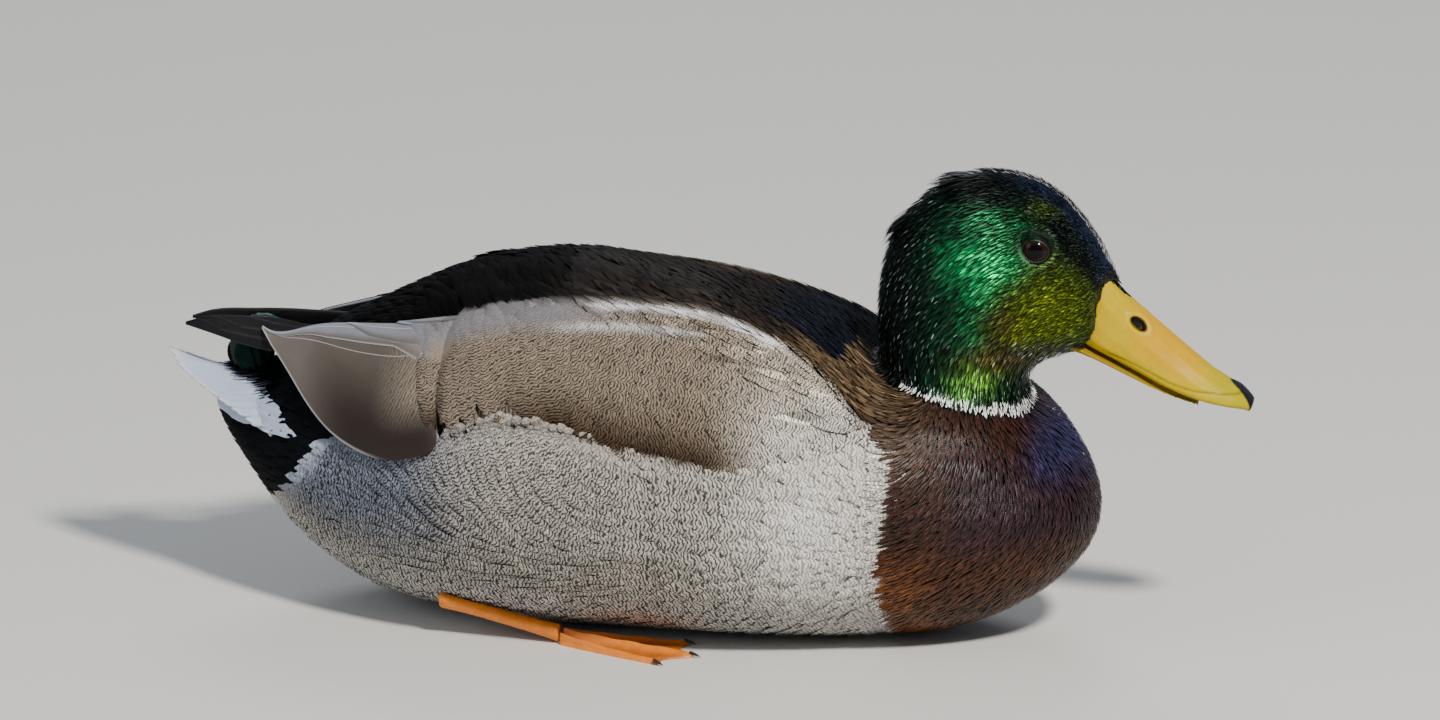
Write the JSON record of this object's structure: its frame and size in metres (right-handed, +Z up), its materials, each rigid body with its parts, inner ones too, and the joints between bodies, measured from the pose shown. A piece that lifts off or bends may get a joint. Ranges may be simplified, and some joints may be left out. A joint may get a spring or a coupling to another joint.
{
  "type": "mallard duck",
  "caption": "Drake mallard resting on its belly with its head held low and forward, as a still, life-size museum model.",
  "frame": {"origin": "on the floor, under the belly's flat, in the body's middle plane", "axes": "+X from tail to breast, +Y to the bird's left, +Z up"},
  "size_m": [0.4006, 0.1566, 0.1728],
  "materials": {
    "flank_plumage": "silver-grey feathers with fine dark waves",
    "breast_plumage": "glossy dark chestnut feathers",
    "rump_plumage": "velvet black feathers with a faint green gloss",
    "head_plumage": "glossy green iridescent feathers above a white ring",
    "wing_plumage": "warm grey-brown feathers with fine dark waves",
    "tertial_plumage": "smooth grey-brown vanes with a silver upper edge",
    "flight_feathers": "charcoal flight feathers",
    "tail_feathers": "white tail feathers, bluish in the shade",
    "bill_horn": "satin yellow horn with a black nail",
    "eye_surface": "wet dark brown",
    "foot_skin": "scaly orange skin"
  },
  "bodies": {
    "root": {"trunk": "flank_plumage", "breast": "breast_plumage", "rump": "rump_plumage", "neck": "head_plumage", "head": "head_plumage", "wing_left": "wing_plumage", "wing_right": "wing_plumage", "tertials_left": "tertial_plumage", "tertials_right": "tertial_plumage", "wing_tip_left": "flight_feathers", "wing_tip_right": "flight_feathers", "tail": "tail_feathers", "tail_curl_left": "rump_plumage", "tail_curl_right": "rump_plumage", "bill_upper": "bill_horn", "bill_lower": "bill_horn", "eye_left": "eye_surface", "eye_right": "eye_surface", "leg_left": "foot_skin", "leg_right": "foot_skin", "foot_left": "foot_skin", "foot_right": "foot_skin"}
  },
  "joints": []
}
